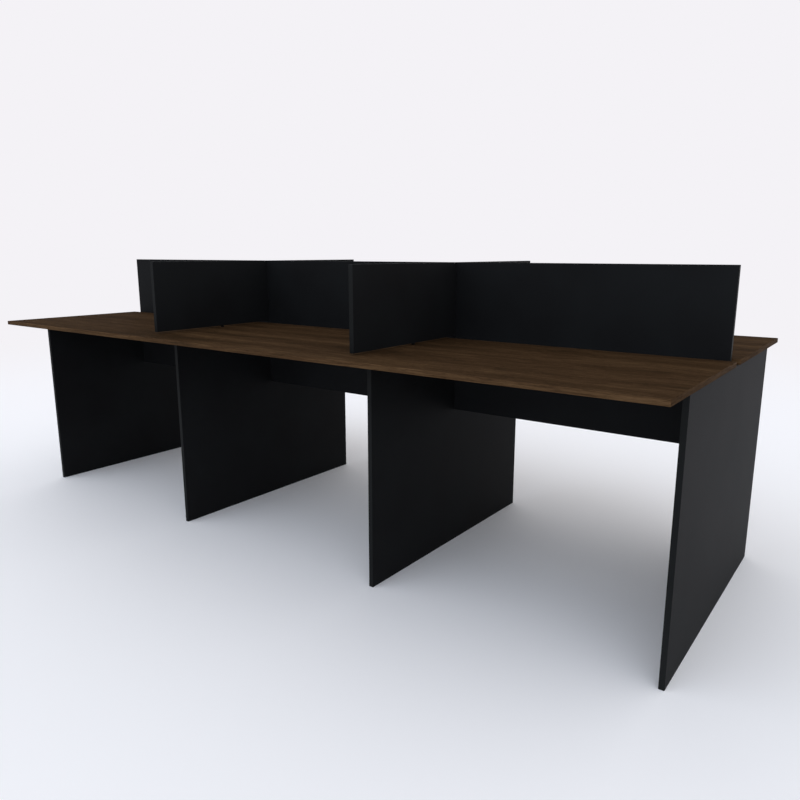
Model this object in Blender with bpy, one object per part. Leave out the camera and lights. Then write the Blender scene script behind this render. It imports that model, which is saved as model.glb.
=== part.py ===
"""A benching desk for six people: two rows of worktops back to back on four slab leg panels.

X runs along the desk, Y from the front row to the rear row, Z up, in metres. The origin is on the floor,
under the middle of the desk. Cam locks, bolts and dowels join the melamine-faced boards, the cross screens
are halved over the central screen and stand clear of the worktops on their bolts' collars, and eight
levelling feet sit flush in the legs' bottom edges.
"""

from collections import namedtuple
from math import cos, pi, radians, sin

import bmesh
import bpy
from mathutils import Matrix, Vector

# Worktops
DESK_HEIGHT = 0.740
TOP_LENGTH = 2.750
TOP_DEPTH = 0.610
TOP_THICKNESS = 0.015
ROW_GAP = 0.050
LIPPING = 0.002

# Leg panels: the right bay is what the other two leave
LEG_DEPTH = 0.940
LEG_THICKNESS = 0.015
LEG_INSET = 0.005
LEFT_BAY = 0.903
MIDDLE_BAY = 0.903

# Modesty panels and screens
MODESTY_HEIGHT = 0.237
MODESTY_THICKNESS = 0.015
SCREEN_RISE = 0.2535
SCREEN_THICKNESS = 0.015
CROSS_SCREEN_LENGTH = 1.095
CROSS_SCREEN_GAP = 0.006

# Gap between pieces that touch
FIT = 0.0003

# Cam locks
CAM_RADIUS = 0.0075
CAM_BELOW_BOLT = 0.005
CAM_REACH = 0.034
SLOT_LENGTH = 0.008
SLOT_WIDTH = 0.0015
SLOT_DEPTH = 0.0015

# Bolts, with a collar under the cross screens: how far they stop short of the cam's centre, and how far
# they thread on into a screen
BOLT_RADIUS = 0.003
COLLAR_RADIUS = 0.006
NECK_RADIUS = 0.002
HEAD_LENGTH = 0.003
NECK_LENGTH = 0.004
BOLT_SHORTFALL = 0.003
SCREEN_THREAD = 0.025

# Dowels, and what is left of a board beyond a blind bore
DOWEL_RADIUS = 0.004
DOWEL_IN_EDGE = 0.020
DOWEL_CHAMFER = 0.001
BLIND_COVER = 0.004

# Where the modesty panels are fixed, from their top and bottom edges
MODESTY_BOLT_DROP = 0.065
MODESTY_DOWEL_RISE = 0.065

# Levelling feet
FOOT_RADIUS = 0.0055
FOOT_HEIGHT = 0.004
FOOT_CHAMFER = 0.0008
STUD_RADIUS = 0.004
STUD_LENGTH = 0.028
PIN_RADIUS = 0.0025
PIN_LENGTH = 0.0025
LEVELLER_INSET = 0.060
LEVELLER_HEADROOM = 0.002

# Facets of round pieces, and how far a cutter runs past a face
SIDES = 12
CAM_SIDES = 20
SHARP_ANGLE = radians(35)
OVERCUT = 0.001

# Planes and places that follow
UNDERSIDE = DESK_HEIGHT - TOP_THICKNESS
PANEL_TOP = UNDERSIDE - FIT
MODESTY_BOTTOM = UNDERSIDE - MODESTY_HEIGHT
SCREEN_TOP = DESK_HEIGHT + SCREEN_RISE
CROSS_BOTTOM = DESK_HEIGHT + CROSS_SCREEN_GAP
HALVING_HEIGHT = (CROSS_BOTTOM + SCREEN_TOP) / 2
LEG_NAMES = ("left_end_leg", "left_middle_leg", "right_middle_leg", "right_end_leg")
FIRST_LEG = -TOP_LENGTH / 2 + LEG_INSET + LEG_THICKNESS / 2
LEG_PLACES = (
    FIRST_LEG,
    FIRST_LEG + LEG_THICKNESS + LEFT_BAY,
    FIRST_LEG + 2 * LEG_THICKNESS + LEFT_BAY + MIDDLE_BAY,
    -FIRST_LEG,
)
END_LEGS = (0, 3)
ROWS = (("front", -1), ("rear", 1))
BAY_NAMES = ("left", "middle", "right")
BAYS = tuple((a + LEG_THICKNESS / 2, b - LEG_THICKNESS / 2) for a, b in zip(LEG_PLACES, LEG_PLACES[1:]))
WORKTOP_FIXING = (ROW_GAP + LEG_DEPTH) / 4
FOOT_PLACES = [side * (LEG_DEPTH / 2 - LEVELLER_INSET) for _, side in ROWS]
BOLT_REACH = CAM_REACH - BOLT_SHORTFALL
BOLT_HEIGHT = PANEL_TOP - MODESTY_BOLT_DROP
DOWEL_HEIGHT = MODESTY_BOTTOM + MODESTY_DOWEL_RISE

# A rod runs both ways from a seam and may have a collar between two distances from it; a cam faces out of
# its board and turns on a bolt that comes toward it
Rod = namedtuple("Rod", "name seam along back on radius collar", defaults=(None,))
Cam = namedtuple("Cam", "name face out toward depth")


def finish(name, colour, roughness, metallic=0.0):
    """Make a material of one colour, in linear values."""
    material = bpy.data.materials.new(name)
    material.use_nodes = True
    shader = material.node_tree.nodes["Principled BSDF"]
    shader.inputs["Base Color"].default_value = (*colour, 1.0)
    shader.inputs["Roughness"].default_value = roughness
    shader.inputs["Metallic"].default_value = metallic
    return material


def add_box(bm, low, high):
    """Add a box between its lowest and highest corners."""
    low, high = Vector(low), Vector(high)
    place = Matrix.Translation((low + high) / 2) @ Matrix.Diagonal((*(high - low), 1.0))
    bmesh.ops.create_cube(bm, size=1.0, matrix=place)


def add_bar(bm, start, end, radius, sides):
    """Add a round bar between two points."""
    start, end = Vector(start), Vector(end)
    turn = (end - start).to_track_quat("Z", "Y").to_matrix().to_4x4()
    bmesh.ops.create_cone(
        bm, cap_ends=True, segments=sides, radius1=radius, radius2=radius,
        depth=(end - start).length, matrix=Matrix.Translation((start + end) / 2) @ turn,
    )


def add_turned(bm, profile):
    """Turn a line of (radius, height) points about Z and close its two ends."""
    angles = [2 * pi * step / SIDES for step in range(SIDES)]
    rings = [[bm.verts.new((r * cos(a), r * sin(a), z)) for a in angles] for r, z in profile]
    for lower, upper in zip(rings, rings[1:]):
        for here in range(SIDES):
            there = (here + 1) % SIDES
            bm.faces.new((lower[here], lower[there], upper[there], upper[here]))
    bm.faces.new(rings[0][::-1])
    bm.faces.new(rings[-1])


def drawn(name, fill, material=None):
    """Make a mesh that the fill function draws; one with round faces is shaded smooth."""
    bm = bmesh.new()
    fill(bm)
    bmesh.ops.recalc_face_normals(bm, faces=bm.faces)
    mesh = bpy.data.meshes.new(name)
    bm.to_mesh(mesh)
    bm.free()
    mesh.shade_smooth()
    mesh.set_sharp_from_angle(angle=SHARP_ANGLE)
    if material:
        mesh.materials.append(material)
    return mesh


def place(name, mesh, location=(0, 0, 0), rotation=None):
    """Put an object with this mesh into the scene."""
    piece = bpy.data.objects.new(name, mesh)
    piece.location = location
    if rotation:
        piece.rotation_euler = rotation
    bpy.context.collection.objects.link(piece)
    return piece


def cut(piece, label, fill):
    """Cut the shapes that the fill function draws in world space out of a piece."""
    cutter = place(f"{piece.name}_{label}", drawn(label, fill))
    cutter.display_type = "WIRE"
    cutter.hide_render = True
    boolean = piece.modifiers.new(label, "BOOLEAN")
    boolean.operation = "DIFFERENCE"
    boolean.solver = "EXACT"
    boolean.object = cutter


def worktop_bolts():
    """Upright bolts from the legs: blind in the worktops, or on through them into a cross screen."""
    blind, through = UNDERSIDE + TOP_THICKNESS - BLIND_COVER, CROSS_BOTTOM + SCREEN_THREAD
    collar = DESK_HEIGHT + FIT - PANEL_TOP, CROSS_BOTTOM - FIT - PANEL_TOP
    return [
        Rod(
            f"{leg}_{row}_bolt", (x, side * WORKTOP_FIXING, PANEL_TOP), (0, 0, 1), BOLT_REACH,
            (blind if index in END_LEGS else through) - PANEL_TOP, BOLT_RADIUS,
            None if index in END_LEGS else collar,
        )
        for index, (leg, x) in enumerate(zip(LEG_NAMES, LEG_PLACES)) for row, side in ROWS
    ]


def worktop_cams():
    """Cams in the legs, each below a worktop bolt: the left end leg's face right, the others left."""
    return [
        Cam(
            f"{leg}_{row}_cam", (x + out * LEG_THICKNESS / 2, side * WORKTOP_FIXING, PANEL_TOP - CAM_REACH),
            (out, 0, 0), (0, 0, 1), LEG_THICKNESS / 2,
        )
        for leg, x, out in zip(LEG_NAMES, LEG_PLACES, (1, -1, -1, -1)) for row, side in ROWS
    ]


def modesty_rods(kind, height, radius, in_panel, in_leg):
    """Bolts or dowels at the modesty panels' ends: blind in the end legs, through the middle legs."""
    found = []
    for index, (leg, x) in enumerate(zip(LEG_NAMES, LEG_PLACES)):
        name, to_panel = f"{leg}_{kind}", LEG_THICKNESS / 2 + FIT
        if index in END_LEGS:
            outward = -1 if index == 0 else 1
            seam = (x - outward * to_panel, 0, height)
            found.append(Rod(name, seam, (outward, 0, 0), in_panel, FIT + in_leg, radius))
        else:
            reach = to_panel + in_panel
            found.append(Rod(name, (x, 0, height), (1, 0, 0), reach, reach, radius))
    return found


def modesty_cams():
    """Cams in the modesty panels' rear faces, one at each end of each panel."""
    reach, back = FIT + CAM_REACH, MODESTY_THICKNESS / 2
    return [
        Cam(
            f"{bay}_modesty_{end}_cam", (edge + inward * reach, back, BOLT_HEIGHT),
            (0, 1, 0), (-inward, 0, 0), back,
        )
        for bay, edges in zip(BAY_NAMES, BAYS)
        for end, edge, inward in zip(("left", "right"), edges, (1, -1))
    ]


IN_LEG = LEG_THICKNESS - BLIND_COVER
BOLTS = worktop_bolts() + modesty_rods("modesty_bolt", BOLT_HEIGHT, BOLT_RADIUS, BOLT_REACH, IN_LEG)
DOWELS = modesty_rods("modesty_dowel", DOWEL_HEIGHT, DOWEL_RADIUS, DOWEL_IN_EDGE, IN_LEG)
CAMS = worktop_cams() + modesty_cams()


def rod_ends(rod, spare=0.0):
    """Give the two ends of a rod, or of a bore with some length to spare."""
    seam, along = Vector(rod.seam), Vector(rod.along)
    return seam - along * (rod.back + spare), seam + along * (rod.on + spare)


def enters(rod, low, high):
    """Say whether a rod reaches into the box between two corners."""
    return all(min(a, b) < h and max(a, b) > l for a, b, l, h in zip(*rod_ends(rod), low, high))


def holds(cam, low, high):
    """Say whether a cam's centre lies inside the box between two corners."""
    centre = Vector(cam.face) - Vector(cam.out) * cam.depth
    return all(l < c < h for l, c, h in zip(low, centre, high))


def board(name, low, high, material):
    """Make a board, bored for every cam, bolt and dowel that it takes."""
    low, high = Vector(low), Vector(high)
    half = (high - low) / 2
    piece = place(name, drawn(name, lambda bm: add_box(bm, -half, half), material), (low + high) / 2)

    def recesses(bm):
        for cam in (cam for cam in CAMS if holds(cam, low, high)):
            face, out = Vector(cam.face), Vector(cam.out)
            floor = face - out * (cam.depth + CAM_BELOW_BOLT + FIT)
            add_bar(bm, floor, face + out * OVERCUT, CAM_RADIUS + FIT, CAM_SIDES)

    def bores(bm):
        for rod in (rod for rod in BOLTS + DOWELS if enters(rod, low, high)):
            add_bar(bm, *rod_ends(rod, spare=FIT), rod.radius + FIT, SIDES)

    if any(holds(cam, low, high) for cam in CAMS):
        cut(piece, "cam_recesses", recesses)
    if any(enters(rod, low, high) for rod in BOLTS + DOWELS):
        cut(piece, "bores", bores)
    return piece


def worktops(face, lipping):
    """The two long boards, each inside a lipping that runs all round it."""
    end, inset = TOP_LENGTH / 2, LIPPING + FIT
    for row, side in ROWS:
        near, far = sorted((side * ROW_GAP / 2, side * (ROW_GAP / 2 + TOP_DEPTH)))
        low, high = (-end + inset, near + inset, UNDERSIDE), (end - inset, far - inset, DESK_HEIGHT)
        board(f"{row}_worktop", low, high, face)
        rim = Vector((end, TOP_DEPTH / 2, TOP_THICKNESS / 2))
        middle = Vector((0, (near + far) / 2, UNDERSIDE + rim.z))
        opening = Vector((end - LIPPING, TOP_DEPTH / 2 - LIPPING, TOP_THICKNESS))
        mesh = drawn("worktop_lipping", lambda bm: add_box(bm, -rim, rim), lipping)
        cut(place(f"{row}_worktop_lipping", mesh, middle), "opening", lambda bm: add_box(
            bm, middle - opening, middle + opening,
        ))


def legs(face):
    """The four leg panels, bored from below for their levelling feet."""
    half, end = LEG_THICKNESS / 2, LEG_DEPTH / 2
    for name, x in zip(LEG_NAMES, LEG_PLACES):
        panel = board(name, (x - half, -end, 0), (x + half, end, PANEL_TOP), face)
        foot_top = FOOT_HEIGHT + FIT
        stud_top = foot_top + STUD_LENGTH + LEVELLER_HEADROOM
        cut(panel, "foot_bores", lambda bm: [
            add_bar(bm, (x, y, -OVERCUT), (x, y, foot_top), FOOT_RADIUS + FIT, SIDES) for y in FOOT_PLACES
        ])
        cut(panel, "stud_bores", lambda bm: [
            add_bar(bm, (x, y, 0), (x, y, stud_top), STUD_RADIUS + FIT, SIDES) for y in FOOT_PLACES
        ])


def modesty_panels(face):
    """One panel in each bay, between the legs."""
    half = MODESTY_THICKNESS / 2
    for bay, (left, right) in zip(BAY_NAMES, BAYS):
        low, high = (left + FIT, -half, MODESTY_BOTTOM), (right - FIT, half, PANEL_TOP)
        board(f"{bay}_modesty_panel", low, high, face)


def central_screen(face):
    """The long screen in the gap between the rows, slotted from above for the cross screens."""
    half, slot, floor = SCREEN_THICKNESS / 2, SCREEN_THICKNESS / 2 + FIT, HALVING_HEIGHT - FIT / 2
    low, high = (BAYS[0][0], -half, UNDERSIDE), (BAYS[-1][1], half, SCREEN_TOP)
    cut(board("central_screen", low, high, face), "halvings", lambda bm: [
        add_box(bm, (x - slot, -slot - OVERCUT, floor), (x + slot, slot + OVERCUT, SCREEN_TOP + OVERCUT))
        for x in LEG_PLACES[1:3]
    ])


def cross_screens(face):
    """The two screens over the middle legs, slotted from below to drop over the central screen."""
    half, end, slot = SCREEN_THICKNESS / 2, CROSS_SCREEN_LENGTH / 2, SCREEN_THICKNESS / 2 + FIT
    for name, x in zip(("left", "right"), LEG_PLACES[1:3]):
        low, high = (x - half, -end, CROSS_BOTTOM), (x + half, end, SCREEN_TOP)
        wide, mouth, ceiling = half + OVERCUT, CROSS_BOTTOM - OVERCUT, HALVING_HEIGHT + FIT / 2
        cut(board(f"{name}_cross_screen", low, high, face), "halving", lambda bm: add_box(
            bm, (x - wide, -slot, mouth), (x + wide, slot, ceiling),
        ))


def cam_mesh(depth, material):
    """A cam that fills its recess, with a cross slot in its face and a hole on X for the bolt's head."""
    body = place("cam", drawn("cam", lambda bm: add_bar(
        bm, (0, 0, -depth - CAM_BELOW_BOLT), (0, 0, 0), CAM_RADIUS, CAM_SIDES,
    ), material))
    cut(body, "hole", lambda bm: add_bar(
        bm, (BOLT_SHORTFALL - FIT, 0, -depth), (CAM_RADIUS + OVERCUT, 0, -depth), BOLT_RADIUS + FIT, SIDES,
    ))
    for label, x, y in (("slot", SLOT_LENGTH, SLOT_WIDTH), ("cross_slot", SLOT_WIDTH, SLOT_LENGTH)):
        cut(body, label, lambda bm: add_box(bm, (-x / 2, -y / 2, -SLOT_DEPTH), (x / 2, y / 2, OVERCUT)))
    mesh = bpy.data.meshes.new_from_object(body.evaluated_get(bpy.context.evaluated_depsgraph_get()))
    for helper in [body, *(modifier.object for modifier in body.modifiers)]:
        bpy.data.objects.remove(helper, do_unlink=True)
    return mesh


def cams(metal):
    """Place each cam with its hole toward its bolt."""
    meshes = {depth: cam_mesh(depth, metal) for depth in {cam.depth for cam in CAMS}}
    for cam in CAMS:
        out, toward = Vector(cam.out), Vector(cam.toward)
        turn = Matrix((toward, out.cross(toward), out)).transposed()
        place(cam.name, meshes[cam.depth], cam.face, turn.to_euler())


def bolt_end(reach, outward):
    """Outline of a bolt's end in a cam, from its seam outward: shank, thin neck and head."""
    head, neck = reach - HEAD_LENGTH, reach - HEAD_LENGTH - NECK_LENGTH
    points = (
        (BOLT_RADIUS, neck), (NECK_RADIUS, neck), (NECK_RADIUS, head),
        (BOLT_RADIUS, head), (BOLT_RADIUS, reach),
    )
    return [(radius, outward * height) for radius, height in points]


def bolt_outline(rod):
    """A cam bolt has one headed end and one plain end; a bolt through a leg is headed at both.

    The collar of a bolt that goes on into a cross screen carries the screen above the worktop.
    """
    outline = bolt_end(rod.back, -1)[::-1]
    if rod.collar:
        low, high = rod.collar
        outline += [(BOLT_RADIUS, low), (COLLAR_RADIUS, low), (COLLAR_RADIUS, high), (BOLT_RADIUS, high)]
    through = rod.back == rod.on
    return outline + (bolt_end(rod.on, 1) if through else [(BOLT_RADIUS, rod.on)])


def dowel_outline(rod):
    """A dowel is chamfered at both ends."""
    tip, low, high = DOWEL_RADIUS - DOWEL_CHAMFER, -rod.back, rod.on
    return [
        (tip, low), (DOWEL_RADIUS, low + DOWEL_CHAMFER),
        (DOWEL_RADIUS, high - DOWEL_CHAMFER), (tip, high),
    ]


def lay(group, outline, material):
    """Place bolts or dowels along their seams' directions."""
    for rod in group:
        mesh = drawn(rod.name, lambda bm: add_turned(bm, outline(rod)), material)
        place(rod.name, mesh, rod.seam, Vector(rod.along).to_track_quat("Z", "Y").to_euler())


def levelling_feet(nylon, steel):
    """A foot flush with each leg's bottom edge, and the threaded stud that turns in it and in the leg."""
    socket = PIN_RADIUS + FIT
    foot = drawn("foot", lambda bm: add_turned(bm, [
        (FOOT_RADIUS - FOOT_CHAMFER, 0), (FOOT_RADIUS, FOOT_CHAMFER), (FOOT_RADIUS, FOOT_HEIGHT),
        (socket, FOOT_HEIGHT), (socket, FOOT_HEIGHT - PIN_LENGTH),
    ]), nylon)
    stud = drawn("stud", lambda bm: add_turned(bm, [
        (PIN_RADIUS, -PIN_LENGTH), (PIN_RADIUS, 0), (STUD_RADIUS, 0), (STUD_RADIUS, STUD_LENGTH),
    ]), steel)
    for leg, x in zip(LEG_NAMES, LEG_PLACES):
        for (row, _), y in zip(ROWS, FOOT_PLACES):
            base = place(f"{leg}_{row}_foot", foot, (x, y, 0))
            place(f"{leg}_{row}_stud", stud, (0, 0, FOOT_HEIGHT + FIT)).parent = base


def main():
    """Build the whole desk."""
    for piece in list(bpy.data.objects):
        bpy.data.objects.remove(piece, do_unlink=True)
    walnut = finish("walnut_melamine", (0.065, 0.034, 0.019), 0.45)
    walnut_abs = finish("walnut_abs", (0.075, 0.040, 0.022), 0.40)
    black = finish("black_melamine", (0.010, 0.011, 0.013), 0.50)
    zinc = finish("zinc_alloy", (0.45, 0.45, 0.46), 0.35, 1.0)
    black_steel = finish("black_plated_steel", (0.02, 0.02, 0.021), 0.40, 1.0)
    steel = finish("zinc_plated_steel", (0.55, 0.55, 0.56), 0.30, 1.0)
    beech = finish("beech", (0.48, 0.32, 0.18), 0.60)
    nylon = finish("black_nylon", (0.015, 0.015, 0.016), 0.45)
    worktops(walnut, walnut_abs)
    legs(black)
    modesty_panels(black)
    central_screen(black)
    cross_screens(black)
    cams(zinc)
    lay(BOLTS, bolt_outline, black_steel)
    lay(DOWELS, dowel_outline, beech)
    levelling_feet(nylon, steel)


main()
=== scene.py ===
# %% [markdown]
# # A benching desk in Blender
#
# Six people work at this desk: two rows of dark walnut worktops stand back to back on four black slab legs,
# with a low black screen between the rows and two cross screens over the middle legs. Every board is a
# melamine-faced panel with a thin plastic band glued round its edges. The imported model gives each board's
# exact place, and this file gives the boards their soft arrises, their bands, their print and their light.

import math

import bpy
import numpy as np
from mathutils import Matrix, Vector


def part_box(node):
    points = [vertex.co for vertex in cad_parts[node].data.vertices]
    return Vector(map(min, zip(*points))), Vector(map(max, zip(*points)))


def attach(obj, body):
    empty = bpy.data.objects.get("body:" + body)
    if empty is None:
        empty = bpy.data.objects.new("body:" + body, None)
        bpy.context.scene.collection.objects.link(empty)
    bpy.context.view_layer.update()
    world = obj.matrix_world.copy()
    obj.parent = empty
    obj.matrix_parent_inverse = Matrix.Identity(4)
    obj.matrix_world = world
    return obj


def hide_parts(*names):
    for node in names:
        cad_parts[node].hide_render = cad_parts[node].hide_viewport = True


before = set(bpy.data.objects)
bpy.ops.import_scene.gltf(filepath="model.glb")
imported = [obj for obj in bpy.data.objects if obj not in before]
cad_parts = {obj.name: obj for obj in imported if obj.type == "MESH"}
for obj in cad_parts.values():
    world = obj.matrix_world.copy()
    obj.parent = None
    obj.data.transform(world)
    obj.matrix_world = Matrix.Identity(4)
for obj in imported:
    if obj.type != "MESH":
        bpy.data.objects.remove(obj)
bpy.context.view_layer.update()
MM = 0.001

# %% [markdown]
# ## The camera
#
# The photograph was taken from the right front corner, a little above the worktop, with a wide lens. Its
# straight edges fix the place, the turn and the lens, so the render can be laid over the photograph.

# %% Set the camera
CAMERA_PLACE = (1.7428, -2.0382, 1.0243)
CAMERA_YAW = math.radians(36.409)
CAMERA_PITCH = math.radians(11.927)
SENSOR_MM = 36.0
FOCAL_PIXELS, IMAGE_PIXELS = 696.7, 800

camera = bpy.data.objects.new("camera", bpy.data.cameras.new("camera"))
camera.location = CAMERA_PLACE
camera.rotation_euler = (math.pi / 2 - CAMERA_PITCH, 0, CAMERA_YAW)
camera.data.sensor_width = SENSOR_MM
camera.data.lens = SENSOR_MM * FOCAL_PIXELS / IMAGE_PIXELS
bpy.context.scene.collection.objects.link(camera)
bpy.context.scene.camera = camera
bpy.context.scene.view_settings.view_transform = "Standard"
print(f"lens {camera.data.lens:.1f} mm")

# %% [markdown]
# ## Colours and nodes
#
# Colours are picked as hex values on a screen, and a shader wants them linear, so one function turns
# them. One more adds a node with its settings, values and links, which keeps each material as short as a
# recipe.


# %% Helpers for materials
def linear(hex_colour):
    """Turn an sRGB hex colour into linear red, green, blue and a full alpha.

    Formula: a value of 0.04045 or less is divided by 12.92, and a higher one is ((value + 0.055) / 1.055)
    to the power 2.4.
    """
    value = np.array([int(hex_colour[i:i + 2], 16) for i in (1, 3, 5)]) / 255
    value = np.where(value <= 0.04045, value / 12.92, ((value + 0.055) / 1.055) ** 2.4)
    return (*value.tolist(), 1.0)


def add(tree, kind, links=None, inputs=None, stops=(), **settings):
    """Add a node.

    Links feed its sockets, inputs are its socket values, stops are a ramp's (position, hex colour) pairs in
    order, and settings are its properties.
    """
    node = tree.nodes.new(kind)
    for key, value in settings.items():
        setattr(node, key, value)
    for key, value in (inputs or {}).items():
        node.inputs[key].default_value = value
    for key, socket in (links or {}).items():
        tree.links.new(socket, node.inputs[key])
    for index, (position, colour) in enumerate(stops):
        elements = node.color_ramp.elements
        element = elements[index] if index < 2 else elements.new(position)
        element.position, element.color = position, linear(colour)
    return node


def start_material(name):
    """Make a material and give it with its node tree, its Principled shader and its Object coordinates."""
    material = bpy.data.materials.new(name)
    material.use_nodes = True
    tree = material.node_tree
    return material, tree, tree.nodes["Principled BSDF"], add(tree, "ShaderNodeTexCoord").outputs["Object"]


print("black #171717 is", round(linear("#171717")[0], 4), "linear")

# %% [markdown]
# Most patterns here are a noise with a real size. Its detail says how many finer layers lie over it. Nearly
# all of its values fall between 0.3 and 0.7, so plastics and metals spread their roughness over that range.

# %% What the noises share
SOFT, UNEVEN, RAGGED = 1.0, 2.0, 3.0
NOISE_LOW, NOISE_HIGH = 0.3, 0.7
print("noise values used:", NOISE_LOW, "to", NOISE_HIGH)

# %% [markdown]
# ## Walnut-print melamine
#
# The worktops are chipboard under paper printed with dark walnut and soaked in melamine resin, pressed
# against an embossed plate. To the eye that is brown streaks along the board, short dark pores, and a matt
# surface that hardly mirrors the room. A photograph of wood would be the quick way, but streaks built from
# stretched noise have no seams and stay sharp in any view. The edge band is ABS with the same print, a
# touch smoother, and its streaks run straight along each edge, so the ends of a board need a band of their
# own. The band on the long edges is drawn a shade lighter than the face. That is painted light, because the
# front edge catches more light than the top.

# %% Walnut print: layers and colours
# Each layer's length along the grain, its width across it, and its detail
BANDS = (900 * MM, 70 * MM, RAGGED)
STREAKS = (110 * MM, 5 * MM, RAGGED)
PORES = (20 * MM, 1.1 * MM, SOFT)

# How far apart in the noise the layers lie, how much their detail counts, and the streaks' share of the tone
LAYER_SHIFT = np.array((3.1, 1.7, 0.4))
DETAIL_STRENGTH = 0.55
STREAK_SHARE = 0.5

# The axis that the grain follows, the length over which it strays sideways, and twice how far it strays
X, Y = 0, 1
WANDER_LENGTH = 200 * MM
FACE_WANDER, BAND_WANDER = 50 * MM, 5 * MM

# A pore is darker, duller and deeper than the print round it
PORE_TONES = ((0.34, "#b4b4b4"), (0.45, "#ffffff"))
PORE_DARKNESS = 0.7
PORE_LOW, PORE_HIGH, PORE_DULLNESS = 0.3, 0.6, 0.12
PORE_DEPTH, PORE_RELIEF = 0.12 * MM, 0.5

FACE_ROUGHNESS, BAND_ROUGHNESS, MATT_SPECULAR = 0.8, 0.58, 0.006
FACE_PRINT = ((0.36, "#2d2216"), (0.47, "#3a2a1b"), (0.55, "#423121"), (0.66, "#4f3c28"))
# The long bands' print is the face's print a shade lighter: painted light for the front edge, which catches
# more light
BAND_PRINT_PAINTED_LIGHTER = ((0.36, "#33271a"), (0.47, "#423020"), (0.55, "#4c3926"), (0.66, "#5a442f"))
print("streaks:", round(STREAKS[0] / MM), "by", round(STREAKS[1] / MM), "mm")


# %% Walnut print: the finishes
def walnut(name, print_colours, grain_along, wander, rough):
    """Dark walnut print: broad bands, streaks and pores, each drawn out along one axis, X or Y.

    The grain strays sideways by up to half of wander, in metres.
    """
    material, tree, shader, place = start_material(name)
    drift = add(tree, "ShaderNodeTexNoise", {"Vector": place}, {"Scale": 1 / WANDER_LENGTH, "Detail": SOFT})
    shifted = add(
        tree, "ShaderNodeVectorMath", {0: drift.outputs["Color"]}, {3: wander}, operation="SCALE",
    )
    bent = add(tree, "ShaderNodeVectorMath", {0: place, 1: shifted.outputs["Vector"]}, operation="ADD")
    grain = []
    for index, (length, width, detail) in enumerate((BANDS, STREAKS, PORES)):
        scale = np.full(3, 1 / width)
        scale[grain_along] = 1 / length
        scaled = add(
            tree, "ShaderNodeMapping", {"Vector": bent.outputs["Vector"]},
            {"Location": index * LAYER_SHIFT, "Scale": scale},
        )
        grain.append(add(
            tree, "ShaderNodeTexNoise", {"Vector": scaled.outputs["Vector"]},
            {"Scale": 1.0, "Detail": detail, "Roughness": DETAIL_STRENGTH},
        ).outputs["Fac"])
    bands, streaks, pores = grain
    mixed = add(tree, "ShaderNodeMix", {"A": bands, "B": streaks}, {"Factor": STREAK_SHARE})
    colour = add(tree, "ShaderNodeValToRGB", {"Fac": mixed.outputs["Result"]}, stops=print_colours)
    fill = add(tree, "ShaderNodeValToRGB", {"Fac": pores}, stops=PORE_TONES)
    print_colour = add(
        tree, "ShaderNodeMix", {"A": colour.outputs["Color"], "B": fill.outputs["Color"]},
        {"Factor": PORE_DARKNESS}, data_type="RGBA", blend_type="MULTIPLY",
    )
    duller = add(
        tree, "ShaderNodeMapRange", {"Value": pores},
        {"From Min": PORE_LOW, "From Max": PORE_HIGH, "To Min": rough + PORE_DULLNESS, "To Max": rough},
    )
    raised = add(
        tree, "ShaderNodeBump", {"Height": fill.outputs["Color"]},
        {"Distance": PORE_DEPTH, "Strength": PORE_RELIEF},
    )
    tree.links.new(print_colour.outputs["Result"], shader.inputs["Base Color"])
    tree.links.new(duller.outputs["Result"], shader.inputs["Roughness"])
    tree.links.new(raised.outputs["Normal"], shader.inputs["Normal"])
    shader.inputs["Specular IOR Level"].default_value = MATT_SPECULAR
    return material


WALNUT_MELAMINE = walnut("walnut_print_melamine_pressed", FACE_PRINT, X, FACE_WANDER, FACE_ROUGHNESS)
# The long edges take the lighter print, which is painted light
WALNUT_ABS = walnut("walnut_print_abs_band_painted_lighter", BAND_PRINT_PAINTED_LIGHTER, X, BAND_WANDER, BAND_ROUGHNESS)
WALNUT_ABS_END = walnut("walnut_print_abs_end_band_extruded", FACE_PRINT, Y, BAND_WANDER, BAND_ROUGHNESS)
print("materials:", WALNUT_MELAMINE.name, WALNUT_ABS.name, WALNUT_ABS_END.name)

# %% [markdown]
# ## Black melamine, its edge band and the board's core
#
# The black boards are pressed against a finely pearled plate, which scatters the light enough to hide
# fingerprints: nearly black face on, dark grey at a low angle. The edge band is extruded ABS, a shade
# lighter and smoother, so a thin line shows round every board. Where a hole cuts the board, the glued chips
# of its core show. Real pearl is finer than a millimetre and can't show at this distance, so it is drawn
# about a millimetre wide.

# %% Black finishes
CLOUD_SIZE = 250 * MM
CLOUD_DARK, CLOUD_LIGHT = 0.35, 0.65
CLOUD_SHINE, CLOUD_DULLNESS = 0.015, 0.02
PEARL_RELIEF = 0.35
BLACK_SPECULAR = 0.035


def black_plastic(name, dark, light, rough, pearl, height):
    """Black plastic with a pearl of this size and height, in metres, and a faint cloudiness."""
    material, tree, shader, place = start_material(name)
    cloud = add(tree, "ShaderNodeTexNoise", {"Vector": place}, {"Scale": 1 / CLOUD_SIZE, "Detail": UNEVEN})
    fine = add(tree, "ShaderNodeTexNoise", {"Vector": place}, {"Scale": 1 / pearl, "Detail": SOFT})
    colour = add(
        tree, "ShaderNodeValToRGB", {"Fac": cloud.outputs["Fac"]},
        stops=((CLOUD_DARK, dark), (CLOUD_LIGHT, light)),
    )
    spread = add(tree, "ShaderNodeMapRange", {"Value": cloud.outputs["Fac"]}, {
        "From Min": NOISE_LOW, "From Max": NOISE_HIGH,
        "To Min": rough - CLOUD_SHINE, "To Max": rough + CLOUD_DULLNESS,
    })
    raised = add(
        tree, "ShaderNodeBump", {"Height": fine.outputs["Fac"]},
        {"Distance": height, "Strength": PEARL_RELIEF},
    )
    tree.links.new(colour.outputs["Color"], shader.inputs["Base Color"])
    tree.links.new(spread.outputs["Result"], shader.inputs["Roughness"])
    tree.links.new(raised.outputs["Normal"], shader.inputs["Normal"])
    shader.inputs["Specular IOR Level"].default_value = BLACK_SPECULAR
    return material


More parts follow.
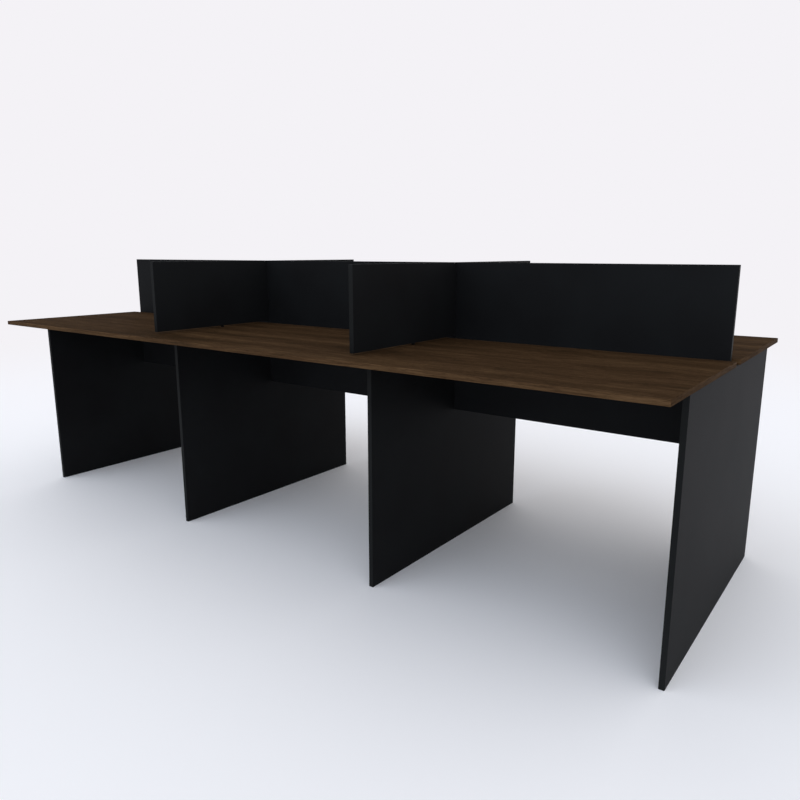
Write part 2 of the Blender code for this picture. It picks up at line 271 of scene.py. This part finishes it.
BLACK_MELAMINE = black_plastic(
    "black_melamine_pearl_pressed", "#151516", "#18191a", rough=0.57, pearl=1.2 * MM, height=0.06 * MM,
)
BLACK_ABS = black_plastic(
    "black_abs_band_extruded", "#171818", "#1c1d1d", rough=0.5, pearl=0.8 * MM, height=0.02 * MM,
)
print("materials:", BLACK_MELAMINE.name, BLACK_ABS.name)

# %% Chipboard core
CHIP_SIZE, CHIP_DEPTH, CHIP_RELIEF = 2 * MM, 0.3 * MM, 0.6
CHIP_TONES = ((0.1, "#6f5236"), (0.9, "#b9986b"))
CORE_ROUGHNESS = 0.85


def chipboard(name):
    """Glued wood chips, each with its own tone from brown to straw."""
    material, tree, shader, place = start_material(name)
    chips = add(tree, "ShaderNodeTexVoronoi", {"Vector": place}, {"Scale": 1 / CHIP_SIZE})
    tone = add(tree, "ShaderNodeSeparateColor", {"Color": chips.outputs["Color"]})
    colour = add(tree, "ShaderNodeValToRGB", {"Fac": tone.outputs["Red"]}, stops=CHIP_TONES)
    raised = add(
        tree, "ShaderNodeBump", {"Height": chips.outputs["Distance"]},
        {"Distance": CHIP_DEPTH, "Strength": CHIP_RELIEF},
    )
    tree.links.new(colour.outputs["Color"], shader.inputs["Base Color"])
    tree.links.new(raised.outputs["Normal"], shader.inputs["Normal"])
    shader.inputs["Roughness"].default_value = CORE_ROUGHNESS
    return material


CORE = chipboard("chipboard_core_sawn")
print("material:", CORE.name)

# %% [markdown]
# ## A banded board
#
# A board is an outline with a thickness. The banding machine rolls its plastic strip on and a scraper
# breaks the sharp edge to a small radius, so the outline is carried over the edge as a stack of rings: down
# into the hair-thin glue line and out of it, round the arris, down the side, and the same again at the
# back. A bevel modifier could round a box, but rings also give the band its own border on the face, at its
# true width.


# %% Outlines
def rectangle(low, high):
    """Give the four corners of a rectangle, counter-clockwise."""
    return [(low[0], low[1]), (high[0], low[1]), (high[0], high[1]), (low[0], high[1])]


def rounded(corners, radius, steps=4):
    """Round every square corner of a closed outline, by one radius or by one for each corner.

    Formula: with unit vectors a and b from the corner to its neighbours, the fillet's centre is the corner
    plus radius times (a + b), and its points are the centre minus radius times (b cos t + a sin t), for t
    from 0 to a quarter turn.
    """
    corner = np.asarray(corners, float)
    radius = np.broadcast_to(radius, len(corner))[:, None]
    before, after = np.roll(corner, 1, axis=0) - corner, np.roll(corner, -1, axis=0) - corner
    a = before / np.linalg.norm(before, axis=1, keepdims=True)
    b = after / np.linalg.norm(after, axis=1, keepdims=True)
    t = np.linspace(0, np.pi / 2, steps + 1)[None, :, None]
    centre = (corner + radius * (a + b))[:, None]
    return (centre - radius[:, None] * (b[:, None] * np.cos(t) + a[:, None] * np.sin(t))).reshape(-1, 2)


def outward_normals(outline):
    """Give the unit normal of each edge of a counter-clockwise outline: its direction turned clockwise."""
    edge = np.roll(outline, -1, axis=0) - outline
    edge /= np.linalg.norm(edge, axis=1, keepdims=True)
    return np.stack([edge[:, 1], -edge[:, 0]], axis=1)


def inset(outline, distance):
    """Move a counter-clockwise outline inwards.

    Formula: each point moves by minus distance times the sum of its two outward edge normals, over one plus
    their dot product, which keeps every edge parallel to itself.
    """
    normal = outward_normals(outline)
    previous = np.roll(normal, 1, axis=0)
    stretch = 1 + np.sum(normal * previous, axis=1, keepdims=True)
    return outline - distance * (normal + previous) / stretch


print("points round a rounded board:", len(rounded(rectangle((0, 0), (1, 1)), 1 * MM)))

# %% Rings over a banded edge
GLUE_LINE = 0.12 * MM
SIDE_START = 1.5


def edge_profile(thickness, arris, band, steps=4):
    """Give the (inset, height) rings over a banded edge, from the front face to the back.

    Formula: round the front arris, inset is arris times (1 - sin t) and height is half the thickness minus
    arris times (1 - cos t), for t from 0 to a quarter turn. A last ring, SIDE_START arrises down, keeps the
    shading of the flat side flat. The back is the same with the height reversed.
    """
    t = np.linspace(0, np.pi / 2, steps + 1)
    half = thickness / 2
    glue = [(band + GLUE_LINE, half), (band, half - GLUE_LINE), (band - GLUE_LINE, half)]
    round_arris = np.stack([arris * (1 - np.sin(t)), half - arris * (1 - np.cos(t))], axis=1)
    front = np.vstack([glue, round_arris, [(0, half - SIDE_START * arris)]])
    return np.vstack([front, front[::-1] * (1, -1)])


print("rings round a 15 mm board:", len(edge_profile(15 * MM, 0.7 * MM, 1 * MM)))

# %% [markdown]
# The rings of a board are one array: ring by ring, point by point. Each strip between two rings takes the
# band's material, except the glue line's inner wall, which belongs to the face. A strip whose outline runs
# across the board takes the end band.

# %% Meshes from arrays
SMOOTH_ANGLE = math.radians(30)


def mesh_piece(name, points, faces, materials, slots=None):
    """Make a mesh object from an array of points and lists of faces, with a material slot for each face."""
    mesh = bpy.data.meshes.new(name)
    mesh.from_pydata(np.asarray(points).tolist(), [], faces)
    for material in materials:
        mesh.materials.append(material)
    if slots is not None:
        mesh.polygons.foreach_set("material_index", slots)
    mesh.shade_smooth()
    mesh.set_sharp_from_angle(angle=SMOOTH_ANGLE)
    mesh.update()
    piece = bpy.data.objects.new(name, mesh)
    bpy.context.scene.collection.objects.link(piece)
    return piece


def grid_faces(rows, columns):
    """Give the quads of a grid of points that closes on itself sideways."""
    here = np.arange(rows * columns).reshape(rows, columns)
    there = np.roll(here, -1, axis=1)
    return np.stack([here[:-1], here[1:], there[1:], there[:-1]], axis=-1).reshape(-1, 4).tolist()


def closed_grid(rows, columns):
    """Give a grid's quads with a face over its first row and one over its last."""
    last = (rows - 1) * columns
    return grid_faces(rows, columns) + [list(range(columns)), list(range(last, last + columns))[::-1]]


print("faces of a box:", len(closed_grid(2, 4)))

# %% Boards in their places
FACE, BAND, END_BAND, CUT = range(4)
DIAGONAL = math.sqrt(0.5)


def banded_board(name, outline, centre, axes, thickness, arris, band, materials):
    """Make a board from its outline, with its band as a border of its own.

    Formula: ring k is the outline inset by the profile's k-th inset, and a point (u, v) of it lies at
    centre + u U + v V + height W, where U, V and W are the board's own axes. An edge that looks along U
    more than along V is one of the board's ends.
    """
    profile = edge_profile(thickness, arris, band)
    rings = np.array([np.column_stack([inset(outline, i), np.full(len(outline), h)]) for i, h in profile])
    slots = np.full((len(profile) - 1, len(outline)), BAND)
    slots[:, np.abs(outward_normals(outline)[:, 0]) > DIAGONAL] = END_BAND
    slots[[0, -1]] = FACE
    return mesh_piece(
        name, rings.reshape(-1, 3) @ np.array(axes, float) + centre, closed_grid(*rings.shape[:2]),
        materials, [*slots.ravel().tolist(), FACE, FACE],
    )


def middle_and_half(*nodes):
    """Give the centre and the half size of the box round some nodes."""
    boxes = np.array([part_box(node) for node in nodes], float)
    low, high = boxes[:, 0].min(axis=0), boxes[:, 1].max(axis=0)
    return (low + high) / 2, (high - low) / 2


def settle(piece, body, slot, *nodes):
    """Let a piece ride on a body and stand for its nodes.

    The slot is not used.
    """
    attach(piece, body)
    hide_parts(*nodes)


print("material slots of a board:", FACE, BAND, END_BAND, CUT)

# %% [markdown]
# ## Holes in a board
#
# Feet go up into the legs' bottom edges, and cams sit in round recesses. A Boolean cuts them, and its
# result is written into the mesh, so that nothing is left to work out later. The walls of a cut take the
# core's material, as they would at the drill.


# %% Drill and carve
def bar(start, end, radius, sides=40):
    """Give a round cutter as its first ring and the vector to its last.

    Formula: the ring's points are start + radius (side cos t + other sin t), where side and other are unit
    vectors square to the bar and to each other, and side, other and the bar's direction are left-handed.
    """
    start = np.array(start, float)
    along = np.array(end, float) - start
    side = np.cross(along, (0, 1, 0) if along[1] == 0 else (0, 0, 1))
    side /= np.linalg.norm(side)
    other = np.cross(side, along)
    other /= np.linalg.norm(other)
    t = np.linspace(0, 2 * np.pi, sides, endpoint=False)[:, None]
    return start + radius * (np.cos(t) * side + np.sin(t) * other), along


def carve(piece, cutters):
    """Cut prisms of (first ring, vector to the last) out of a piece and keep the result as its mesh."""
    helpers = []
    for ring, along in cutters:
        faces = closed_grid(2, len(ring))
        helpers.append(mesh_piece("cutter", np.vstack([ring, ring + along]), faces, (), [CUT] * len(faces)))
        boolean = piece.modifiers.new("cut", "BOOLEAN")
        boolean.object, boolean.solver = helpers[-1], "EXACT"
    mesh = bpy.data.meshes.new_from_object(piece.evaluated_get(bpy.context.evaluated_depsgraph_get()))
    mesh.name = piece.name
    mesh.set_sharp_from_angle(angle=SMOOTH_ANGLE)
    piece.modifiers.clear()
    piece.data = mesh
    for helper in helpers:
        bpy.data.objects.remove(helper, do_unlink=True)


FIT = 0.3 * MM
print("clearance round a fitting:", FIT)

# %% [markdown]
# ## The worktops
#
# Each worktop is one board as long as the desk, with a 2 mm band all round that is printed like its face.
# Its corners are left almost square, as on most office boards, with just enough radius to be kind to a
# sleeve.

# %% Make the worktops
LYING = ((1, 0, 0), (0, 1, 0), (0, 0, 1))
ROWS = ("front", "rear")
WALNUT_BOARD = (WALNUT_MELAMINE, WALNUT_ABS, WALNUT_ABS_END)
TOP_CORNER, TOP_ARRIS, TOP_BAND = 3 * MM, 1.2 * MM, 2 * MM

for row in ROWS:
    nodes = (f"{row}_worktop", f"{row}_worktop_lipping")
    centre, half = middle_and_half(*nodes)
    outline = rounded(rectangle(-half[:2], half[:2]), TOP_CORNER)
    worktop = banded_board(
        f"{row}_worktop_board", outline, centre, LYING, 2 * half[2], TOP_ARRIS, TOP_BAND, WALNUT_BOARD,
    )
    settle(worktop, "desk", "walnut_melamine", *nodes)
    print(worktop.name, "mm:", (2 * half / MM).round(1))

# %% [markdown]
# ## The legs
#
# A leg is one black board across both rows. It stands on its bottom edge, where two plastic feet sit flush
# in their holes. The recesses for the cams are in the face that looks into the desk: to the right on the
# left end leg, to the left on the others.

# %% Make the legs
ACROSS = ((0, 1, 0), (0, 0, 1), (1, 0, 0))
LEGS = ("left_end_leg", "left_middle_leg", "right_middle_leg", "right_end_leg")
BLACK_BOARD = (BLACK_MELAMINE, BLACK_ABS, BLACK_ABS, CORE)
CORNER, ARRIS, EDGE_BAND = 1.2 * MM, 0.7 * MM, 1 * MM
OVERCUT = 2 * MM


def recess(cam, out):
    """Give the cutter that clears a cam, from its back to past the board's face, which looks along out."""
    centre, half = middle_and_half(cam)
    thin = int(np.argmax(np.abs(out)))
    depth = half[thin] * np.array(out, float)
    radius = np.delete(half, thin).max() + FIT
    return bar(centre - depth * (1 + FIT / half[thin]), centre + depth * (1 + OVERCUT / half[thin]), radius)


CAM_FACES = {f"{leg}_{row}_cam": (1 if leg == LEGS[0] else -1, 0, 0) for leg in LEGS for row in ROWS}
for leg in LEGS:
    centre, half = middle_and_half(leg)
    outline = rounded(rectangle(-half[1:], half[1:]), CORNER)
    board = banded_board(f"{leg}_board", outline, centre, ACROSS, 2 * half[0], ARRIS, EDGE_BAND, BLACK_BOARD)
    cutters = []
    for row in ROWS:
        foot, foot_half = middle_and_half(f"{leg}_{row}_foot")
        stud, stud_half = middle_and_half(f"{leg}_{row}_stud")
        x, y = foot[:2]
        cutters += [
            bar((x, y, -OVERCUT), (x, y, 2 * foot_half[2] + FIT), foot_half[0] + FIT),
            bar((x, y, 0), (x, y, stud[2] + stud_half[2] + OVERCUT), stud_half[0] + FIT),
            recess(f"{leg}_{row}_cam", CAM_FACES[f"{leg}_{row}_cam"]),
        ]
    carve(board, cutters)
    settle(board, "desk", "black_melamine", leg)
    print(board.name, "faces:", len(board.data.polygons))

# %% [markdown]
# ## The modesty panels
#
# Three short boards close the desk's middle under the tops and tie the legs together. Their cams face the
# rear row.

# %% Make the modesty panels
UPRIGHT = ((1, 0, 0), (0, 0, 1), (0, -1, 0))
BAYS = ("left", "middle", "right")
PANEL_ENDS = {"left": -1, "right": 1}

for bay in BAYS:
    node = f"{bay}_modesty_panel"
    centre, half = middle_and_half(node)
    outline = rounded(rectangle(-half[[0, 2]], half[[0, 2]]), CORNER)
    panel = banded_board(
        f"{node}_board", outline, centre, UPRIGHT, 2 * half[1], ARRIS, EDGE_BAND, BLACK_BOARD,
    )
    for end in PANEL_ENDS:
        CAM_FACES[f"{bay}_modesty_{end}_cam"] = (0, 1, 0)
    carve(panel, [recess(f"{bay}_modesty_{end}_cam", (0, 1, 0)) for end in PANEL_ENDS])
    settle(panel, "desk", "black_melamine", node)
    print(panel.name, "mm:", (2 * half / MM).round(1))

# %% [markdown]
# ## The screens
#
# The long screen has two slots in its top edge and each cross screen one in its bottom edge, so that they
# drop over each other like the dividers of a bottle crate. The cross screens stand a few millimetres clear
# of the worktops, on the collars of their bolts. The slots are part of the outline, so the rings follow them
# with no cutting. Their inner corners are nearly square, as a saw leaves them.

# %% Make the long screen
SAW_CORNER = 0.3 * MM
SCREEN = BLACK_BOARD[:CUT]
cross_low, cross_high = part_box("left_cross_screen")
halving = (cross_low[2] + cross_high[2]) / 2

centre, half = middle_and_half("central_screen")
left, right, bottom, top = -half[0], half[0], -half[2], half[2]
slot_floor = halving - centre[2] - FIT / 2
corners = [(left, bottom), (right, bottom), (right, top)]
for cross in ("right_cross_screen", "left_cross_screen"):
    cross_centre, cross_half = middle_and_half(cross)
    middle, reach = cross_centre[0] - centre[0], cross_half[0] + FIT
    slot_left, slot_right = middle - reach, middle + reach
    corners += [(slot_right, top), (slot_right, slot_floor), (slot_left, slot_floor), (slot_left, top)]
corners.append((left, top))
radii = [CORNER] * 3 + [CORNER, SAW_CORNER, SAW_CORNER, CORNER] * 2 + [CORNER]
screen = banded_board(
    "central_screen_board", rounded(corners, radii), centre, UPRIGHT, 2 * half[1], ARRIS, EDGE_BAND, SCREEN,
)
settle(screen, "desk", "black_melamine", "central_screen")
slot_reach = half[1] + FIT
print(screen.name, "mm:", (2 * half / MM).round(1))

# %% Make the cross screens
for cross in ("left_cross_screen", "right_cross_screen"):
    centre, half = middle_and_half(cross)
    front, rear, bottom, top = -half[1], half[1], -half[2], half[2]
    ceiling = halving - centre[2] + FIT / 2
    corners = [
        (front, bottom), (-slot_reach, bottom), (-slot_reach, ceiling), (slot_reach, ceiling),
        (slot_reach, bottom), (rear, bottom), (rear, top), (front, top),
    ]
    radii = [CORNER, CORNER, SAW_CORNER, SAW_CORNER] + [CORNER] * 4
    screen = banded_board(
        f"{cross}_board", rounded(corners, radii), centre, ACROSS, 2 * half[0], ARRIS, EDGE_BAND, SCREEN,
    )
    settle(screen, "desk", "black_melamine", cross)
    print(screen.name, "mm:", (2 * half / MM).round(1))

# %% [markdown]
# ## Metal, beech and nylon
#
# The fittings come from the hardware bag: cams cast in zinc, bolts and studs of plated steel, beech dowels
# and moulded nylon feet. A casting is dull and a little grainy, plated steel keeps a brighter, slightly
# uneven shine, and nylon is like the band but softer to look at. The bolts are plated black, because their
# collars would show as bright dots under the cross screens.

# %% Metal finishes
METAL_SHINE, METAL_DULLNESS = 0.08, 0.10
METAL_DEPTH, METAL_RELIEF = 0.02 * MM, 0.4


def metal(name, hex_colour, rough, grain):
    """Plated or cast metal: a grain of this size, in metres, varies its roughness and its surface."""
    material, tree, shader, place = start_material(name)
    fine = add(tree, "ShaderNodeTexNoise", {"Vector": place}, {"Scale": 1 / grain, "Detail": RAGGED})
    spread = add(tree, "ShaderNodeMapRange", {"Value": fine.outputs["Fac"]}, {
        "From Min": NOISE_LOW, "From Max": NOISE_HIGH,
        "To Min": rough - METAL_SHINE, "To Max": rough + METAL_DULLNESS,
    })
    raised = add(
        tree, "ShaderNodeBump", {"Height": fine.outputs["Fac"]},
        {"Distance": METAL_DEPTH, "Strength": METAL_RELIEF},
    )
    tree.links.new(spread.outputs["Result"], shader.inputs["Roughness"])
    tree.links.new(raised.outputs["Normal"], shader.inputs["Normal"])
    shader.inputs["Base Color"].default_value = linear(hex_colour)
    shader.inputs["Metallic"].default_value = 1.0
    return material


ZINC = metal("zinc_alloy_die_cast", "#b3b4b6", rough=0.42, grain=0.6 * MM)
STEEL = metal("steel_zinc_plated", "#c3c4c6", rough=0.28, grain=0.3 * MM)
BLACK_STEEL = metal("steel_black_zinc_plated", "#1c1c1d", rough=0.45, grain=0.3 * MM)
print("metals:", ZINC.name, STEEL.name, BLACK_STEEL.name)

# %% Beech and nylon
FLECK_LENGTH, FLECK_WIDTH = 6 * MM, 0.6 * MM
BEECH_TONES = ((0.35, "#a5825a"), (0.6, "#cdb088"))
BEECH_ROUGHNESS = 0.65


def beech(name):
    """Pale turned beech, with short flecks along X."""
    material, tree, shader, place = start_material(name)
    drawn_out = add(
        tree, "ShaderNodeMapping", {"Vector": place},
        {"Scale": (1 / FLECK_LENGTH, 1 / FLECK_WIDTH, 1 / FLECK_WIDTH)},
    )
    flecks = add(tree, "ShaderNodeTexNoise", {"Vector": drawn_out.outputs["Vector"]}, {"Scale": 1.0})
    colour = add(tree, "ShaderNodeValToRGB", {"Fac": flecks.outputs["Fac"]}, stops=BEECH_TONES)
    tree.links.new(colour.outputs["Color"], shader.inputs["Base Color"])
    shader.inputs["Roughness"].default_value = BEECH_ROUGHNESS
    return material


BEECH = beech("beech_turned")
NYLON = black_plastic(
    "black_nylon_moulded", "#1d1d1e", "#222223", rough=0.45, pearl=0.5 * MM, height=0.02 * MM,
)
print("materials:", BEECH.name, NYLON.name)

# %% [markdown]
# Bolts and dowels sit inside the boards and are plain turned shapes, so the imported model's own solids stay
# and only change their finish.

# %% Finish the bolts and dowels
finished = []
for name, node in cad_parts.items():
    for ending, finish in (("_bolt", BLACK_STEEL), ("_dowel", BEECH)):
        if name.endswith(ending):
            finished.append(name)
            for slot in node.material_slots:
                slot.material = finish
print("bolts and dowels:", len(finished))

# %% [markdown]
# ## The cams
#
# A cam is a zinc barrel, 15 mm across, that grips the head of a bolt when it is turned. Its face has a
# slightly raised rim and a cross slot for the screwdriver. It is turned from a profile, and the cross and
# the bolt's hole are carved out of it.


# %% Turned pieces
def turned(name, profile, centre, material, axes=LYING, sides=48):
    """Turn a profile of (radius, height), listed from the top down, about the last of three axes.

    Formula: a point lies at centre + radius cos t U + radius sin t V + height W, for t round the circle.
    """
    radius, height = np.array(profile, float).T[:, :, None]
    t = np.linspace(0, 2 * np.pi, sides, endpoint=False)[None]
    points = np.stack([radius * np.cos(t), radius * np.sin(t), height + 0 * t], axis=-1).reshape(-1, 3)
    faces = closed_grid(len(profile), sides)
    return mesh_piece(name, points @ np.array(axes, float) + centre, faces, (material,) * 4, [0] * len(faces))


# %% Make the cams
SLOT_LENGTH, SLOT_WIDTH, SLOT_DEPTH = 8 * MM, 1.5 * MM, 1.5 * MM
RIM_WIDTH, RIM_HEIGHT, CAM_BEVEL = 1.1 * MM, 0.25 * MM, 0.3 * MM
HOLE_RADIUS, HOLE_START, BOLT_DEPTH = 3.3 * MM, 2.7 * MM, 7.5 * MM

for cam, out in CAM_FACES.items():
    centre, half = middle_and_half(cam)
    out = np.array(out, float)
    # The bolt comes from the leg beside a modesty panel's cam, and from above to a leg's cam
    leg_way = next((way for end, way in PANEL_ENDS.items() if cam.endswith(f"_modesty_{end}_cam")), None)
    toward = np.array((leg_way, 0, 0) if leg_way else (0, 0, 1), float)
    axes = np.array([toward, np.cross(out, toward), out])
    depth = np.abs(half @ out)
    radius = np.abs(half @ toward)
    face = centre + depth * out
    barrel = turned(f"{cam}_casting", [
        (radius - RIM_WIDTH - RIM_HEIGHT, -RIM_HEIGHT), (radius - RIM_WIDTH, 0), (radius - CAM_BEVEL, 0),
        (radius, -CAM_BEVEL), (radius, CAM_BEVEL - 2 * depth), (radius - CAM_BEVEL, -2 * depth),
    ], face, ZINC, axes)
    bolt_line = face - BOLT_DEPTH * out
    cross = np.array(rectangle((-SLOT_LENGTH / 2, -SLOT_WIDTH / 2), (SLOT_LENGTH / 2, SLOT_WIDTH / 2)))
    carve(barrel, [bar(bolt_line + HOLE_START * toward, bolt_line + 2 * radius * toward, HOLE_RADIUS)] + [
        (face + OVERCUT * out + points @ axes[:2], -(OVERCUT + SLOT_DEPTH) * out)
        for points in (cross, np.column_stack([-cross[:, 1], cross[:, 0]]))
    ])
    settle(barrel, "desk", "zinc_alloy", cam)
print("cams:", len(CAM_FACES), "faces each:", len(barrel.data.polygons))

# %% [markdown]
# ## The levelling feet
#
# A foot is a small moulded puck, and its stud is an M8 screw. The puck is turned from a profile. The
# thread is one surface of two parameters, the angle and the height: the radius rises and falls once for
# every pitch, and the angle shifts that wave, which is what makes a helix.

# %% Threaded surface
FADE_PITCHES = 0.5


def threaded(name, radius, pitch, depth, low, high, centre, material, sides=32, per_pitch=8):
    """Make a threaded stud.

    Formula: the radius at angle t and height z is the crest radius minus depth times a triangle wave of
    (z / pitch - t / turn), and the wave fades out over the last FADE_PITCHES pitches at each end.
    """
    rows = int((high - low) / pitch * per_pitch)
    z = np.linspace(high, low, rows)[:, None]
    t = np.linspace(0, 2 * np.pi, sides, endpoint=False)[None]
    wave = np.abs(((z / pitch - t / (2 * np.pi)) % 1) * 2 - 1)
    fade = np.clip(np.minimum(z - low, high - z) / (FADE_PITCHES * pitch), 0, 1)
    r = radius - depth * (1 - (1 - wave) * fade)
    points = np.stack([r * np.cos(t), r * np.sin(t), z + 0 * t], axis=-1).reshape(-1, 3)
    return mesh_piece(name, points + centre, closed_grid(rows, sides), (material,))


# %% Make the feet and studs
PITCH, THREAD_DEPTH = 1.25 * MM, 0.7 * MM
SOCKET_RADIUS, SOCKET_DEPTH, PIN_RADIUS = 2.8 * MM, 2.5 * MM, 2.5 * MM
FOOT_ROUND, FOOT_LIP = 1.2 * MM, 0.4 * MM

# The rounding of a foot's lower edge: how far in and how far up, as shares of FOOT_ROUND
FOOT_EDGE = ((0, 0.8), (0.4, 0.2), (1, 0))

for leg in LEGS:
    for row in ROWS:
        foot_node, stud_node = f"{leg}_{row}_foot", f"{leg}_{row}_stud"
        centre, half = middle_and_half(foot_node)
        base = centre * (1, 1, 0)
        radius, height = half[0], 2 * half[2]
        lower_edge = [(radius - inward * FOOT_ROUND, up * FOOT_ROUND) for inward, up in FOOT_EDGE]
        foot = turned(f"{foot_node}_puck", [
            (SOCKET_RADIUS, height - SOCKET_DEPTH), (SOCKET_RADIUS, height), (radius - FOOT_LIP, height),
            (radius, height - FOOT_LIP), *lower_edge,
        ], base, NYLON)
        settle(foot, f"{leg}_{row}_foot_body", "black_nylon", foot_node)
        centre, half = middle_and_half(stud_node)
        low, high = centre[2] - half[2], centre[2] + half[2]
        stud = threaded(
            f"{stud_node}_screw", half[0], PITCH, THREAD_DEPTH, height + FIT, high, base, STEEL,
        )
        pin = turned(f"{stud_node}_pin", [
            (PIN_RADIUS, height + 2 * FIT), (PIN_RADIUS, low + FIT), (PIN_RADIUS - FIT, low),
        ], base, STEEL)
        for piece in (stud, pin):
            settle(piece, f"{leg}_{row}_stud_body", "zinc_plated_steel", stud_node)
print("feet:", len(LEGS) * len(ROWS), "thread turns:", round((high - height) / PITCH, 1))

# %% [markdown]
# ## Floor and light
#
# The desk stands on a pale floor that runs into a pale background with no edge, under soft light from all
# round. Lamps would draw hard shadows, so the world alone gives the light, twice as strong and a little
# cooler from the front row's side, as from a big window. The camera, mirrors and glass see the background's
# own colour, and a few metres out the floor fades into it.

# %% Make the floor
FLOOR_COLOUR, FLOOR_ROUGHNESS, FLOOR_SPECULAR = "#fcfbfc", 0.7, 0.2
BACKGROUND = "#f4f2f6"
FLOOR_SIZE = 60.0
FADE_START, FADE_END = 1.8, 7.0


def seen_directly(tree):
    """Give 1 for rays from the camera, a mirror or glass, and 0 for rays that light something."""
    path = add(tree, "ShaderNodeLightPath")
    glossy = add(tree, "ShaderNodeMath", {0: path.outputs["Is Camera Ray"], 1: path.outputs["Is Glossy Ray"]})
    return add(
        tree, "ShaderNodeMath", {0: glossy.outputs["Value"], 1: path.outputs["Is Transmission Ray"]},
        use_clamp=True,
    ).outputs["Value"]


def studio_floor(name):
    """Pale matt floor near the desk that turns into the background's own colour farther out."""
    material, tree, shader, place = start_material(name)
    shader.inputs["Base Color"].default_value = linear(FLOOR_COLOUR)
    shader.inputs["Roughness"].default_value = FLOOR_ROUGHNESS
    shader.inputs["Specular IOR Level"].default_value = FLOOR_SPECULAR
    distance = add(tree, "ShaderNodeVectorMath", {0: place}, operation="LENGTH")
    away = add(
        tree, "ShaderNodeMapRange", {"Value": distance.outputs["Value"]},
        {"From Min": FADE_START, "From Max": FADE_END}, interpolation_type="SMOOTHSTEP",
    )
    share = add(
        tree, "ShaderNodeMath", {0: away.outputs["Result"], 1: seen_directly(tree)}, operation="MULTIPLY",
    )
    glow = add(tree, "ShaderNodeEmission", inputs={"Color": linear(BACKGROUND), "Strength": 1.0})
    mixed = add(tree, "ShaderNodeMixShader", {
        0: share.outputs["Value"], 1: shader.outputs["BSDF"], 2: glow.outputs["Emission"],
    })
    tree.links.new(mixed.outputs["Shader"], tree.nodes["Material Output"].inputs["Surface"])
    return material


square = np.array(rectangle((-FLOOR_SIZE / 2,) * 2, (FLOOR_SIZE / 2,) * 2))
floor = mesh_piece(
    "floor", np.column_stack([square, np.zeros(4)]), [[0, 1, 2, 3]], (studio_floor("studio_floor"),),
)
print("floor", FLOOR_SIZE, "m wide")

# %% Make the light
SIDE_LIGHT, FRONT_LIGHT = 0.85, 1.75
SIDE_TINT, FRONT_TINT = "#fdfdff", "#e2eeff"

world = bpy.data.worlds.new("studio")
world.use_nodes = True
bpy.context.scene.world = world
tree = world.node_tree
light = tree.nodes["Background"]
view = add(tree, "ShaderNodeTexCoord").outputs["Generated"]
direction = add(tree, "ShaderNodeSeparateXYZ", {"Vector": view})
# The front row's side is toward minus Y
frontness = add(
    tree, "ShaderNodeMapRange", {"Value": direction.outputs["Y"]}, {"From Min": 0, "From Max": -1},
).outputs["Result"]
strength = add(
    tree, "ShaderNodeMapRange", {"Value": frontness}, {"To Min": SIDE_LIGHT, "To Max": FRONT_LIGHT},
)
tint = add(tree, "ShaderNodeValToRGB", {"Fac": frontness}, stops=((0.0, SIDE_TINT), (1.0, FRONT_TINT)))
tree.links.new(strength.outputs["Result"], light.inputs["Strength"])
tree.links.new(tint.outputs["Color"], light.inputs["Color"])
seen = add(tree, "ShaderNodeBackground", inputs={"Color": linear(BACKGROUND), "Strength": 1.0})
mixed = add(tree, "ShaderNodeMixShader", {
    0: seen_directly(tree), 1: light.outputs["Background"], 2: seen.outputs["Background"],
})
tree.links.new(mixed.outputs["Shader"], tree.nodes["World Output"].inputs["Surface"])
print("light from the front is", round(FRONT_LIGHT / SIDE_LIGHT, 1), "times the rest")
